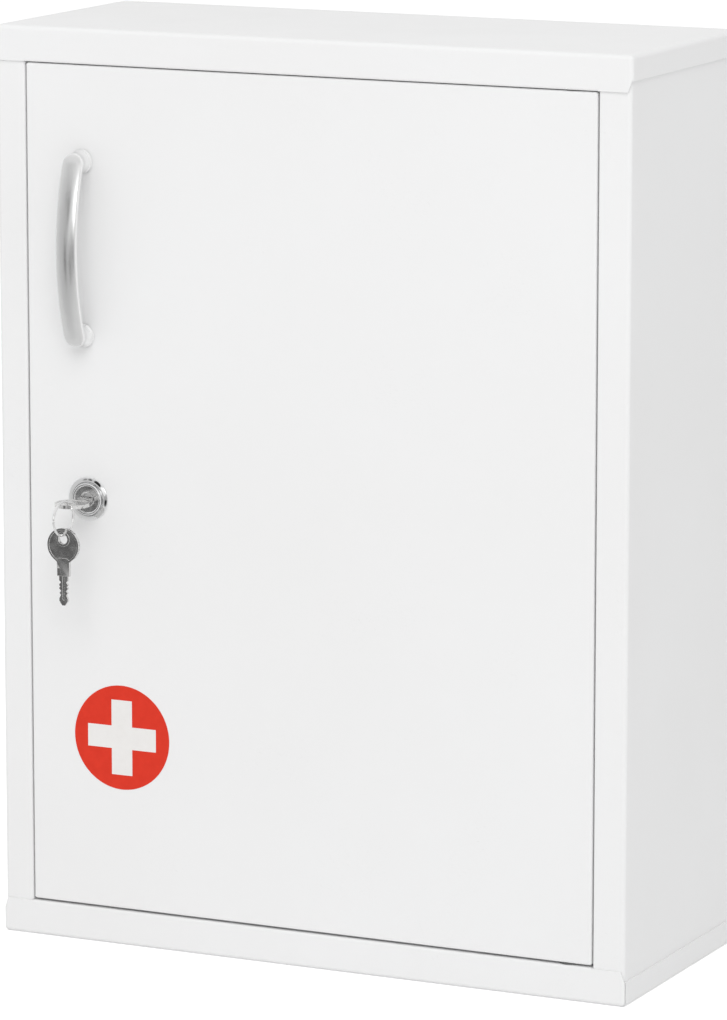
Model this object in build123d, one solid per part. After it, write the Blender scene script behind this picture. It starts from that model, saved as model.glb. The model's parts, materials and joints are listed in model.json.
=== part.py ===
from build123d import *
import os
from math import asin, cos, degrees, radians, sin

# Lockable steel medicine cabinet with one inset door, to hang on a wall or stand on a shelf.
# Millimetres. +X is to the right, +Y towards the wall, +Z up.
# The origin is the centre of the underside.

# Cabinet body
width = 300.0  # over the top and bottom caps
depth = 120.0  # front of the caps to the wall face
height = 404.0
sheet = 0.8  # thickness of every folded steel sheet
corner_radius = 2.0  # outside radius of the large folds
fold_radius = 1.0  # outside radius of the small folds
front_flange = 15.5  # height of each cap's front flange, which is the door frame's top or bottom
side_flange = 10.9  # height of the caps' flanges at the sides and the back
cap_return = 12.0  # fold of the front flange into the cabinet
left_stile = 14.6  # cap's outer side to the door opening, on the lock side
right_stile = 15.4  # the same on the hinge side
back_flange = 14.0  # the side sheet's fold along the wall
sheet_play = 0.2  # between sheets that only pass each other
corner_slit = 0.5  # open corner between the bottom cap's flanges
corner_relief_width = 2.2  # slanted relief at the ends of a cap's front flange
corner_relief_drop = 1.7

# Wall fixing
wall_hole_radius = 3.5
wall_hole_spacing = 230.0
wall_hole_rise = 340.0

# Shelves
shelf_flange = 14.0
shelf_return = 9.0
shelf_front = -38.0  # Y of the shelf's front edge, behind the lock
shelf_play = 0.5
rail_leg = 12.0
rail_seat = 10.0
rail_end_play = 2.0

# Door
door_gap = 0.7  # at the sides, between the door and its frame
door_top_gap = 0.5
door_bottom_gap = 0.9  # wider than the top's, because the door hangs low on its pins
door_depth = 12.0
door_return = 8.0  # inward fold along the door's two long edges
return_notch = 1.0  # clearance at the ends of those folds
stop_width = 10.0  # lip that the door closes against
stop_end = 4.0  # the lip ends this far from the opening's ends
bumper_radius = 3.5
bumper_thickness = 0.8
bumper_play = 0.3
bumper_edge = 60.0  # from the opening's ends to the outer bumpers

# Hinge pins, one above and one below the door
hinge_inset = 12.0  # from the door's right edge to the pin
hinge_setback = 4.0  # from the door's face to the pin
pin_radius = 2.0
pin_head_radius = 3.5
pin_head = 1.2
pin_reach = 7.0  # past the frame, into the door
pin_play = 0.05
fixed_play = 0.02  # round a pressed or riveted piece
bush_radius = 2.9
bush_flange_radius = 3.6
bush_depth = 2.4
bush_play = 0.1

# Bow handle
handle_x = -107.4
handle_z = 308.6
handle_spacing = 76.0
handle_width = 9.6
handle_thickness = 3.0
handle_end = 8.5  # the bow's front stands this far off the door at its ends
handle_middle = 17.0
handle_crown = 1.2  # the bow's front is this much higher along its middle than at its sides
handle_edge = 0.6
handle_end_ease = 0.1  # the round ends are cut this much wider than the strap
foot_radius = 5.4
foot_rim = 1.4
foot_neck_radius = 4.4
screw_radius = 2.0
screw_head_radius = 3.9
screw_head = 2.3
screw_grip = 5.4  # thread length inside the foot
screw_tip_play = 0.3
screw_hole_radius = 2.25

# Cam lock
lock_x = -105.75
lock_z = 198.7
rosette_radius = 9.6
rosette_rim = 0.5
rosette_rise = 2.1
face_ring_width = 1.1  # raised ring round the plug's head
face_ring_play = 0.35
barrel_radius = 7.9
barrel_flats = 14.0  # across the two flats
barrel_play = 0.1
plug_radius = 5.0
plug_head_step = 0.55  # the head's radius beyond the plug's
plug_head_depth = 1.6
plug_face = 1.2  # the plug's face stands this far off the door
plug_dish_radius = 3.4
plug_dish_depth = 0.6
plug_play = 0.05
nut_flats = 20.0
nut_thickness = 3.0
nut_chamfer = 0.9
washer_radius = 10.5
washer_thickness = 0.6
washer_teeth = 12
tooth_depth = 0.7
cam_clearance = 1.0  # between the stop lip and the cam behind it
cam_thickness = 1.5
cam_length = 26.0  # lock axis to the tip
cam_end_radius = 8.0
cam_tip_width = 9.0
tang_width = 6.0
tang_play = 0.05
housing_end_play = 0.2
cam_screw_radius = 2.0
cam_screw_head_radius = 3.6
cam_screw_head = 2.2
cam_screw_length = 4.4
cam_screw_tip_play = 0.2
cam_washer_radius = 4.6
cam_washer_thickness = 0.8
wafer_count = 4
wafer_thickness = 0.6
wafer_pitch = 1.9
wafer_height = 3.4
wafer_play = 0.1
first_wafer = 2.2  # behind the plug's face

# Keys and their ring
key_bow_radius = 7.6
key_bow_thickness = 1.6
key_field_depth = 0.2
key_rim = 0.8
key_hole_radius = 2.2
key_hole_rim = 1.0
key_hole_offset = 2.8  # from the bow's centre towards its end
key_neck_width = 6.0
key_neck_length = 6.3
key_neck_overlap = 0.4  # the neck starts inside the bow's edge
key_neck_land = 1.6  # the neck's flat reaches this far into the bow's recess
key_mill_width = 1.9  # flat milled at one side of the neck on each face
key_mill_length = 3.4
key_mill_depth = 0.2
key_blade_width = 4.2
key_blade_length = 13.0
key_blade_thickness = 1.1
key_groove_width = 1.0
key_groove_depth = 0.25
key_cut_depths = (0.85, 0.5, 0.95)  # one for each wafer but the last, which the waist passes
key_tip_waist = 2.6
key_tip_length = 4.6
keyway_play = 0.15
key_shoulder = 1.5  # the inserted key's shoulder stands this far off the door
ring_radius = 7.45
ring_wire_radius = 0.55
ring_gap = 4.0  # degrees, where the wire's ends meet
ring_turn = 6.0  # degrees, the ring's plane from straight out towards the left
ring_aside = 0.7  # the wire passes this far to the right of the key hole's centre
ring_hang = 42.0  # degrees below level, from the key's hole to the ring's centre
spare_key_play = 0.25  # between the ring's wire and the top of the spare key's hole

# Worked-out places
half_width = width / 2
half_depth = depth / 2
body_x = half_width - sheet  # outer face of the side sheets
body_y = half_depth - sheet  # outer face of the stiles and back flanges
opening_left = -half_width + left_stile
opening_right = half_width - right_stile
opening_bottom = front_flange
opening_top = height - front_flange
door_left = opening_left + door_gap
door_right = opening_right - door_gap
door_bottom = opening_bottom + door_bottom_gap
door_top = opening_top - door_top_gap
door_face = -body_y
stop_face = door_face + door_depth + bumper_thickness + bumper_play
side_end = corner_radius + sheet_play
hinge_x = door_right - hinge_inset
hinge_y = door_face + hinge_setback
shelf_back = body_y - sheet - shelf_play
tier = (height - 4 * sheet) / 3  # clear height of each of the three compartments
lower_shelf_z = sheet + tier + sheet
upper_shelf_z = lower_shelf_z + tier + sheet
cam_front = stop_face + sheet + cam_clearance
plug_head_radius = plug_radius + plug_head_step
face_ring_bore = plug_head_radius + face_ring_play
face_ring_radius = face_ring_bore + face_ring_width
key_bow_z = key_neck_length + key_bow_radius - key_neck_overlap  # shoulder to the bow's centre

upside_down = Plane.XY.offset(height / 2)


def cylinder_y(radius, start, end, x, z):
    """A round bar along Y between two depths."""
    return Pos(x, (start + end) / 2, z) * Rot(90, 0, 0) * Cylinder(radius, end - start)


def block(low, high):
    """A straight-sided block between two corners."""
    size = [b - a for a, b in zip(low, high)]
    centre = [(a + b) / 2 for a, b in zip(low, high)]
    return Pos(*centre) * Box(*size)


def folded_section(points, radii):
    """Cross-section of one folded sheet. The points follow its outer face, the metal is on their right."""
    face_line = FilletPolyline(*points, radius=radii)
    return make_face(offset(face_line, amount=sheet, side=Side.RIGHT))


def side_sheet(stile, stop):
    """Left-hand wall in one sheet: door stop, return, stile, side and back flange."""
    edge_x = -half_width + stile
    inner_radius = fold_radius - sheet
    points = [
        (edge_x, stop_face),
        (edge_x, -body_y),
        (-body_x, -body_y),
        (-body_x, body_y),
        (-body_x + back_flange, body_y),
    ]
    radii = [fold_radius, corner_radius, corner_radius]
    if stop > 0:
        points.insert(0, (edge_x + stop, stop_face))
        radii.insert(0, inner_radius)
    wall = Pos(0, 0, side_end) * extrude(folded_section(points, radii), height - 2 * side_end)
    if stop > 0:
        above = block((edge_x, stop_face - 1, opening_top - stop_end), (0, 0, height))
        below = block((edge_x, stop_face - 1, 0), (0, 0, opening_bottom + stop_end))
        wall = wall - above - below
    return wall


def back_panel():
    """Flat sheet over the sides' back flanges, flush with the caps' back, with four wall holes."""
    panel = block(
        (-body_x + corner_radius + sheet_play, body_y, side_flange + sheet_play),
        (body_x - corner_radius - sheet_play, half_depth, height - side_flange - sheet_play),
    )
    panel = fillet(panel.edges().filter_by(Axis.Y), corner_radius)
    for x in (-wall_hole_spacing / 2, wall_hole_spacing / 2):
        for z in (height / 2 - wall_hole_rise / 2, height / 2 + wall_hole_rise / 2):
            panel = panel - cylinder_y(wall_hole_radius, body_y - 1, half_depth + 1, x, z)
    return panel


def rounded_tray_block(inset, top):
    """The cap's outer form, or with an inset its hollow."""
    body = block(
        (-half_width + inset, -half_depth + inset, inset),
        (half_width - inset, half_depth - inset, top),
    )
    upright = body.edges().filter_by(Axis.Z)
    lowest = body.edges().group_by(Axis.Z)[0]
    return fillet(upright + lowest, corner_radius - inset)


def cap(corner_open):
    """The bottom cap: a folded tray, plate down. The top cap is the same, turned over."""
    tray = rounded_tray_block(0, front_flange) - rounded_tray_block(sheet, front_flange + 1)
    tray = tray - block(
        (-width, -half_depth + sheet, side_flange), (width, depth, front_flange + 1)
    )
    lip_left = opening_left + sheet_play
    lip_right = opening_right - sheet_play
    tray = tray - block((lip_left, -depth, side_flange), (lip_right, -body_y, front_flange + 1))
    lip_points = [
        (-half_depth, side_flange - 1),
        (-half_depth, front_flange),
        (-half_depth + cap_return, front_flange),
    ]
    lip = Plane.YZ.offset(lip_left) * folded_section(lip_points, [fold_radius])
    tray = tray + extrude(lip, lip_right - lip_left)
    slant = Polyline(
        (half_width - corner_relief_width, front_flange + 1),
        (half_width - corner_relief_width, front_flange),
        (half_width, side_flange - corner_relief_drop),
        (half_width + 1, side_flange - corner_relief_drop),
        (half_width + 1, front_flange + 1),
        close=True,
    )
    relief = Pos(0, -half_depth + sheet, 0) * extrude(Plane.XZ * make_face(slant), sheet + 1)
    tray = tray - relief - mirror(relief, about=Plane.YZ)
    if corner_open:
        slit = block(
            (half_width - corner_radius, -body_y, -1),
            (half_width + 1, -body_y + corner_slit, front_flange),
        )
        tray = tray - slit - mirror(slit, about=Plane.YZ)
    pin_hole = Pos(hinge_x, hinge_y, front_flange) * Cylinder(pin_radius + fixed_play, 4 * sheet)
    return tray - pin_hole


def shelf(top):
    """Shelf in one sheet, with a front fold, its return and a back fold."""
    points = [
        (shelf_front + shelf_return, top - shelf_flange),
        (shelf_front, top - shelf_flange),
        (shelf_front, top),
        (shelf_back, top),
        (shelf_back, top - shelf_flange),
    ]
    side_clear = body_x - sheet - shelf_play
    section = Plane.YZ.offset(-side_clear) * folded_section(points, [fold_radius] * 3)
    return extrude(section, 2 * side_clear)


def left_rail(top):
    """Angle on the left wall that a shelf rests on."""
    wall_x = -body_x + sheet
    seat_z = top - sheet
    rail_front = shelf_front + shelf_return + rail_end_play
    rail_back = shelf_back - sheet - rail_end_play
    points = [(wall_x, seat_z - rail_leg), (wall_x, seat_z), (wall_x + rail_seat, seat_z)]
    section = Plane.XZ.offset(-rail_back) * folded_section(points, [fold_radius])
    return extrude(section, rail_back - rail_front)


def hinge_pin():
    """Lower pin: head under the frame's return, shank up into the door."""
    seat = opening_bottom - sheet
    head = Cylinder(pin_head_radius, pin_head, align=(Align.CENTER, Align.CENTER, Align.MAX))
    head = chamfer(head.edges().group_by(Axis.Z)[0], pin_head / 3)
    shank_length = sheet + pin_reach
    shank = Cylinder(pin_radius, shank_length, align=(Align.CENTER, Align.CENTER, Align.MIN))
    shank = chamfer(shank.edges().group_by(Axis.Z)[-1], pin_radius / 4)
    return Pos(hinge_x, hinge_y, seat) * (head + shank)


def hinge_bush(gap):
    """Lower bush: a flange in the gap between frame and door, and a barrel in the door's hole."""
    flange_height = gap - bush_play
    flange = Cylinder(
        bush_flange_radius, flange_height, align=(Align.CENTER, Align.CENTER, Align.MIN)
    )
    barrel_height = flange_height + bush_depth
    barrel = Cylinder(bush_radius, barrel_height, align=(Align.CENTER, Align.CENTER, Align.MIN))
    bore = Cylinder(pin_radius + pin_play, 4 * barrel_height)
    return Pos(hinge_x, hinge_y, opening_bottom + bush_play) * (flange + barrel - bore)


def door_tray(inset, radius, corners):
    """The door's outer form, or with an inset its hollow. It is folded along the face and the long back edges."""
    tray = block(
        (door_left + inset, door_face + inset, door_bottom + inset),
        (door_right - inset, door_face + door_depth - inset, door_top - inset),
    )
    folds = tray.edges().group_by(Axis.Y)[0] + tray.edges().filter_by(Axis.Z).group_by(Axis.Y)[-1]
    if corners:
        folds = folds + tray.edges().filter_by(Axis.Y)
    return fillet(folds, radius)


def door_panel():
    """Door in one sheet: face, four flanges, and returns along the two long edges."""
    back = door_face + door_depth
    window = block(
        (door_left + door_return, back - 2 * sheet, door_bottom + sheet),
        (door_right - door_return, back + 1, door_top - sheet),
    )
    tray = door_tray(0, fold_radius, True) - door_tray(sheet, fold_radius - sheet, False) - window
    for low in (door_bottom + sheet, door_top - sheet - return_notch):
        notch = block(
            (door_left + sheet, back - sheet, low), (door_right - sheet, back + 1, low + return_notch)
        )
        tray = tray - notch
    barrel = cylinder_y(barrel_radius + barrel_play, door_face - 1, back, lock_x, lock_z)
    flats = block(
        (lock_x - barrel_flats / 2 - barrel_play, door_face - 1, lock_z - 2 * barrel_radius),
        (lock_x + barrel_flats / 2 + barrel_play, back, lock_z + 2 * barrel_radius),
    )
    tray = tray - (barrel & flats)
    for z in (handle_z - handle_spacing / 2, handle_z + handle_spacing / 2):
        tray = tray - cylinder_y(screw_hole_radius, door_face - 1, back, handle_x, z)
    bush_hole = Pos(hinge_x, hinge_y, 0) * Cylinder(bush_radius + fixed_play, 3 * height)
    return tray - bush_hole


def door_bumpers():
    """Round rubber pads on the stop lip."""
    middle = (opening_bottom + opening_top) / 2
    reach = (opening_top - opening_bottom) / 2 - bumper_edge
    pads = []
    for z in (middle - reach, middle, middle + reach):
        pad_x = opening_left + stop_width / 2
        pads.append(cylinder_y(bumper_radius, stop_face - bumper_thickness, stop_face, pad_x, z))
    return Compound(children=pads)


def bow_strap():
    """Crowned strap bent to an arc, with round ends. The door's face is at Y = 0, its middle at Z = 0."""
    half = handle_width / 2
    reach = handle_spacing / 2 + half
    rise = handle_middle - handle_end
    bow_radius = (reach**2 + rise**2) / (2 * rise)
    axis_y = bow_radius - handle_middle
    back_y = handle_thickness - handle_middle
    side_y = handle_crown - handle_middle
    section = make_face(
        Polyline((-half, side_y), (-half, back_y), (half, back_y), (half, side_y))
        + ThreePointArc((half, side_y), (0, -handle_middle), (-half, side_y))
    )
    section = fillet(section.vertices().group_by(Axis.Y)[0], handle_edge)
    half_turn = degrees(asin(reach / bow_radius)) + 3
    arc = revolve(section, Axis((0, axis_y, 0), (1, 0, 0)), 2 * half_turn)
    arc = Pos(0, axis_y, 0) * Rot(-half_turn, 0, 0) * Pos(0, -axis_y, 0) * arc
    outline = Plane.XZ * Rot(0, 0, 90) * SlotOverall(2 * reach, handle_width + handle_end_ease)
    strap = arc & extrude(outline, 2 * handle_middle)
    end_edges = strap.edges().filter_by(lambda e: e.length > handle_width and abs(e.center().Z) > reach - half)
    return fillet(end_edges.group_by(Axis.Y)[0], handle_edge)


def handle_foot(foot_height):
    """Turned foot: a wide rim on the door, a cone and a neck, along -Y."""
    outline = Polyline(
        (0, 0),
        (foot_radius, 0),
        (foot_radius, -foot_rim),
        (foot_neck_radius, -foot_rim - foot_radius + foot_neck_radius),
        (foot_neck_radius, -foot_height),
        (0, -foot_height),
        close=True,
    )
    return revolve(make_face(outline), Axis.Y)


def handle():
    """Cast bow handle: the strap on two round feet, each with a screw hole from behind."""
    foot = handle_foot(handle_end - handle_thickness / 2)
    hole = cylinder_y(screw_radius + fixed_play, -screw_grip - screw_tip_play, 1, 0, 0)
    bow = bow_strap()
    for z in (-handle_spacing / 2, handle_spacing / 2):
        bow = bow + Pos(0, 0, z) * foot
    for z in (-handle_spacing / 2, handle_spacing / 2):
        bow = bow - Pos(0, 0, z) * hole
    return Pos(handle_x, door_face, handle_z) * bow


def pan_screw(head_radius, head, shank_radius, shank):
    """Pan head screw along Y: the head's seat is at the origin, the shank runs to -Y."""
    crown = head * 0.7
    profile = Polyline(
        (0, -shank),
        (shank_radius * 0.75, -shank),
        (shank_radius, -shank + shank_radius * 0.4),
        (shank_radius, 0),
        (head_radius, 0),
        (head_radius, head - crown),
        (head_radius - crown, head),
        (0, head),
        close=True,
    )
    return revolve(make_face(profile), Axis.Y)


def handle_screws():
    """Two screws from inside the door into the handle's feet."""
    screws = []
    for z in (handle_z - handle_spacing / 2, handle_z + handle_spacing / 2):
        screw = pan_screw(screw_head_radius, screw_head, screw_radius, screw_grip + sheet)
        screws.append(Pos(handle_x, door_face + sheet, z) * screw)
    return Compound(children=screws)


def at_lock(piece):
    """Puts a piece made round the Y axis, with the door's face at Y = 0, on the lock's axis."""
    return Pos(lock_x, door_face, lock_z) * piece


def turned(points):
    """Solid turned round the Y axis from (radius, depth) points."""
    return revolve(make_face(Polyline(*points, close=True)), Axis.Y)


cam_start = cam_front - door_face
housing_end = cam_start - housing_end_play
cam_screw_seat = cam_start + cam_thickness + cam_washer_thickness


def lock_housing():
    """Rosette and barrel in one, with the counterbore that the plug's head turns in."""
    head_seat = plug_head_depth - plug_face
    body = turned(
        [
            (plug_radius + plug_play, head_seat),
            (plug_head_radius + plug_play, head_seat),
            (plug_head_radius + plug_play, -plug_face),
            (face_ring_bore, -rosette_rise + rosette_rim / 2),
            (face_ring_bore + rosette_rim / 2, -rosette_rise),
            (face_ring_radius - rosette_rim / 2, -rosette_rise),
            (face_ring_radius, -rosette_rise + rosette_rim / 2),
            (face_ring_radius, -rosette_rise + 2 * rosette_rim),
            (rosette_radius, -rosette_rim),
            (rosette_radius, 0),
            (barrel_radius, 0),
            (barrel_radius, housing_end),
            (plug_radius + plug_play, housing_end),
        ]
    )
    for side in (-1, 1):
        flat_x = side * (barrel_flats / 2 + barrel_radius)
        flat = Pos(flat_x, housing_end / 2, 0) * Box(2 * barrel_radius, housing_end, 4 * barrel_radius)
        body = body - flat
    return at_lock(body)


def lock_plug():
    """Turning core: head, keyway, wafer slots, and a square tang for the cam."""
    head_back = plug_head_depth - plug_face - plug_play
    core = turned(
        [
            (0, -plug_face + plug_dish_depth),
            (plug_dish_radius - plug_dish_depth, -plug_face + plug_dish_depth),
            (plug_dish_radius, -plug_face),
            (plug_head_radius, -plug_face),
            (plug_head_radius, head_back),
            (plug_radius, head_back),
            (plug_radius, housing_end),
            (0, housing_end),
        ]
    )
    tang_end = cam_start + cam_thickness - tang_play
    tang_low = -tang_width / 2
    tang_high = tang_width / 2
    core = core + block((tang_low, housing_end, tang_low), (tang_high, tang_end, tang_high))
    keyway_width = key_blade_width + 2 * keyway_play
    keyway_height = key_blade_thickness + 2 * keyway_play
    keyway_end = key_blade_length - key_shoulder + 2 * keyway_play
    keyway = block(
        (-keyway_width / 2, -plug_face - 1, -keyway_height / 2),
        (keyway_width / 2, keyway_end, keyway_height / 2),
    )
    core = core - keyway
    for n in range(wafer_count):
        start = -plug_face + first_wafer + n * wafer_pitch - wafer_play
        slot_half = wafer_height / 2 + wafer_play
        slot = block(
            (-2 * plug_radius, start, -slot_half),
            (2 * plug_radius, start + wafer_thickness + 2 * wafer_play, slot_half),
        )
        core = core - slot
    thread_end = cam_screw_seat - cam_screw_length - cam_screw_tip_play
    thread = cylinder_y(cam_screw_radius + fixed_play, thread_end, tang_end + 1, 0, 0)
    return at_lock(core - thread)


def lock_wafers():
    """Flat brass wafers in the plug, each with a window for the key."""
    window_width = key_blade_width + 2 * keyway_play
    window_height = key_blade_thickness + 2 * keyway_play
    wafers = []
    for n in range(wafer_count):
        start = -plug_face + first_wafer + n * wafer_pitch
        end = start + wafer_thickness
        disc = cylinder_y(plug_radius - wafer_play, start, end, 0, 0)
        band = Pos(0, (start + end) / 2, 0) * Box(3 * plug_radius, 3 * wafer_thickness, wafer_height)
        window = Pos(0, (start + end) / 2, 0) * Box(window_width, 3 * wafer_thickness, window_height)
        wafers.append(at_lock((disc & band) - window))
    return Compound(children=wafers)


def lock_washer():
    """Toothed washer between the door's sheet and the nut."""
    start = sheet
    end = sheet + washer_thickness
    ring = cylinder_y(washer_radius, start, end, 0, 0)
    ring = ring - cylinder_y(barrel_radius + barrel_play, start - 1, end + 1, 0, 0)
    tooth_gap = Plane.XZ * Pos(washer_radius, 0) * RegularPolygon(tooth_depth, 4)
    notch = Pos(0, end + 1, 0) * extrude(tooth_gap, washer_thickness + 2)
    for n in range(washer_teeth):
        ring = ring - Rot(0, n * 360 / washer_teeth, 0) * notch
    return at_lock(ring)


def lock_nut():
    """Hexagon nut that clamps the housing to the door."""
    start = sheet + washer_thickness
    end = start + nut_thickness
    hexagon = RegularPolygon(nut_flats / 2, 6, major_radius=False)
    nut = Pos(0, end, 0) * extrude(Plane.XZ * hexagon, nut_thickness)
    nut = nut & turned(
        [
            (0, start),
            (nut_flats / 2, start),
            (nut_flats / 2 + 2 * nut_chamfer, start + nut_chamfer),
            (nut_flats / 2 + 2 * nut_chamfer, end - nut_chamfer),
            (nut_flats / 2, end),
            (0, end),
        ]
    )
    return at_lock(nut - cylinder_y(barrel_radius + pin_play, start - 1, end + 1, 0, 0))


def lock_cam():
    """Flat cam that swings behind the stop lip. At rest it points down."""
    tip_radius = cam_tip_width / 2
    tip = Pos(0, -cam_length + tip_radius) * Circle(tip_radius)
    outline = make_hull(Circle(cam_end_radius).edges() + tip.edges())
    end = cam_start + cam_thickness
    arm = Pos(0, end, 0) * extrude(Plane.XZ * outline, cam_thickness)
    hole_side = tang_width / 2 + tang_play
    hole = block((-hole_side, cam_start - 1, -hole_side), (hole_side, end + 1, hole_side))
    return at_lock(arm - hole)


def cam_washer():
    """Plain washer under the cam screw's head."""
    start = cam_start + cam_thickness
    end = start + cam_washer_thickness
    ring = cylinder_y(cam_washer_radius, start, end, 0, 0)
    return at_lock(ring - cylinder_y(cam_screw_radius + pin_play, start - 1, end + 1, 0, 0))


def cam_screw():
    """Screw that holds the cam on the plug."""
    screw = pan_screw(cam_screw_head_radius, cam_screw_head, cam_screw_radius, cam_screw_length)
    return at_lock(Pos(0, cam_screw_seat, 0) * screw)


def key_head():
    """Bow and neck: a disc that tapers into the neck, with a hole and a recess on both faces."""
    bow_centre = Pos(0, key_bow_z)
    hole_centre = bow_centre * Pos(0, key_hole_offset)
    disc = bow_centre * Circle(key_bow_radius)
    neck_top = Pos(0, key_neck_length) * Rectangle(key_neck_width, key_neck_overlap)
    bow = make_hull(disc.edges() + neck_top.edges())
    neck = Rectangle(key_neck_width, key_neck_length, align=(Align.CENTER, Align.MIN))
    hole = hole_centre * Circle(key_hole_radius)
    head = extrude(bow + neck - hole, key_bow_thickness / 2, both=True)
    land_length = key_neck_length + key_neck_land
    land = RectangleRounded(key_neck_width, 2 * land_length, key_neck_land)
    field = offset(bow, amount=-key_rim) - hole_centre * Circle(key_hole_radius + key_hole_rim) - land
    field_cut = extrude(field, key_field_depth)
    mill = Box(2 * key_mill_width, 2 * key_mill_length, 2 * key_mill_depth)
    face = key_bow_thickness / 2
    head = head - Pos(0, 0, face - key_field_depth) * field_cut
    head = head - Pos(0, 0, -face) * field_cut
    head = head - Pos(-key_neck_width / 2, 0, face) * mill
    return head - Pos(key_neck_width / 2, 0, -face) * mill


def key_blade():
    """Blade along -Y with cuts on both edges, a waist behind the pointed tip, and a groove on both faces."""
    tip_start = key_blade_length - key_tip_length
    half = key_blade_width / 2
    right_edge = [
        (half, key_neck_overlap),
        (half, -tip_start + 1),
        (key_tip_waist / 2, -tip_start),
        (half, -tip_start - key_tip_length * 0.33),
        (half, -tip_start - key_tip_length * 0.55),
        (half / 3, -key_blade_length),
    ]
    left_edge = [(-x, y) for x, y in reversed(right_edge)]
    outline = make_face(Polyline(*right_edge, *left_edge, close=True))
    first_cut = key_shoulder - plug_face + first_wafer + wafer_thickness / 2
    for n, depth_of_cut in enumerate(key_cut_depths):
        for x in (-half, half):
            cut_centre = Pos(x, -first_cut - n * wafer_pitch)
            outline = outline - cut_centre * RegularPolygon(depth_of_cut, 4)
    blade = extrude(outline, key_blade_thickness / 2, both=True)
    groove_length = key_blade_length - key_tip_length / 2
    groove_outline = Rot(0, 0, 90) * SlotOverall(groove_length, key_groove_width)
    groove = extrude(Pos(0, -groove_length / 2) * groove_outline, key_groove_depth, both=True)
    for side in (-1, 1):
        blade = blade - Pos(0, 0, side * key_blade_thickness / 2) * groove
    return blade


def key():
    """Flat key in the XY plane: shoulder at the origin, bow up +Y, blade down -Y."""
    return key_head() + key_blade()


def inserted_key():
    """The key in the lock: bow level, blade in the keyway."""
    flat = Rot(180, 0, 0) * key()
    return Pos(lock_x, door_face - key_shoulder, lock_z) * flat


key_hole_y = door_face - key_shoulder - key_bow_z - key_hole_offset
ring_direction = (-sin(radians(ring_turn)), -cos(radians(ring_turn)))
ring_out = ring_radius * cos(radians(ring_hang))
ring_x = lock_x + ring_aside + ring_out * ring_direction[0]
ring_y = key_hole_y + ring_out * ring_direction[1]
ring_z = lock_z - ring_radius * sin(radians(ring_hang))


def key_ring():
    """Wire ring, upright, through the inserted key's hole and the spare key's hole."""
    wire = Plane.XZ * Pos(ring_radius, 0) * Circle(ring_wire_radius)
    loop = revolve(wire, Axis.Z, 360 - ring_gap)
    upright = Rot(90, 0, 0) * Rot(0, 0, ring_gap / 2) * loop
    facing = Rot(0, 0, 270 - ring_turn) * upright
    return Pos(ring_x, ring_y, ring_z) * facing


spare_hang = key_hole_radius - ring_wire_radius - spare_key_play
spare_hole_z = ring_z - ring_radius - spare_hang


def spare_key():
    """The second key, hanging from the bottom of the ring with its bow parallel to the door."""
    shoulder_z = spare_hole_z - key_bow_z - key_hole_offset
    return Pos(ring_x, ring_y, shoulder_z) * Rot(90, 0, 0) * key()


def mirrored(piece):
    """The same piece on the cabinet's other side."""
    return mirror(piece, about=Plane.YZ)


def turned_over(piece):
    """The same piece at the cabinet's other end."""
    return mirror(piece, about=upside_down)


nodes = {
    "left_side": side_sheet(left_stile, stop_width),
    "right_side": mirrored(side_sheet(right_stile, 0)),
    "back_panel": back_panel(),
    "top_cap": turned_over(cap(False)),
    "bottom_cap": cap(True),
    "lower_shelf": shelf(lower_shelf_z),
    "upper_shelf": shelf(upper_shelf_z),
    "lower_left_rail": left_rail(lower_shelf_z),
    "lower_right_rail": mirrored(left_rail(lower_shelf_z)),
    "upper_left_rail": left_rail(upper_shelf_z),
    "upper_right_rail": mirrored(left_rail(upper_shelf_z)),
    "door_bumpers": door_bumpers(),
    "lower_hinge_pin": hinge_pin(),
    "upper_hinge_pin": turned_over(hinge_pin()),
    "lower_hinge_bush": hinge_bush(door_bottom_gap),
    "upper_hinge_bush": turned_over(hinge_bush(door_top_gap)),
    "door_panel": door_panel(),
    "handle": handle(),
    "handle_screws": handle_screws(),
    "lock_housing": lock_housing(),
    "lock_washer": lock_washer(),
    "lock_nut": lock_nut(),
    "lock_plug": lock_plug(),
    "lock_wafers": lock_wafers(),
    "lock_cam": lock_cam(),
    "cam_washer": cam_washer(),
    "cam_screw": cam_screw(),
    "inserted_key": inserted_key(),
    "key_ring": key_ring(),
    "spare_key": spare_key(),
}

os.makedirs("parts", exist_ok=True)
for name, piece in nodes.items():
    export_step(piece, "parts/" + name + ".step")
    print(name)
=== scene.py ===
# %% [markdown]
# # A lockable medicine cabinet, finished in Blender
#
# The cabinet is a small box of white coated steel with one inset door. Its pieces, sizes and hinges come
# from a CAD model, which is loaded here as a fixed frame. This lesson adds what a CAD model has no words
# for: the finish of every surface, the soft edges that catch the light, the cast handle, the lock with its
# keys, the first-aid sign, and the studio. Lengths are in metres. +X is to the right, +Y towards the wall
# and +Z up.

# %% Load the frame
import json
from math import asin, cos, pi, radians, sin, sqrt, tau

import bmesh
import bpy
from mathutils import Matrix, Vector


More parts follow.
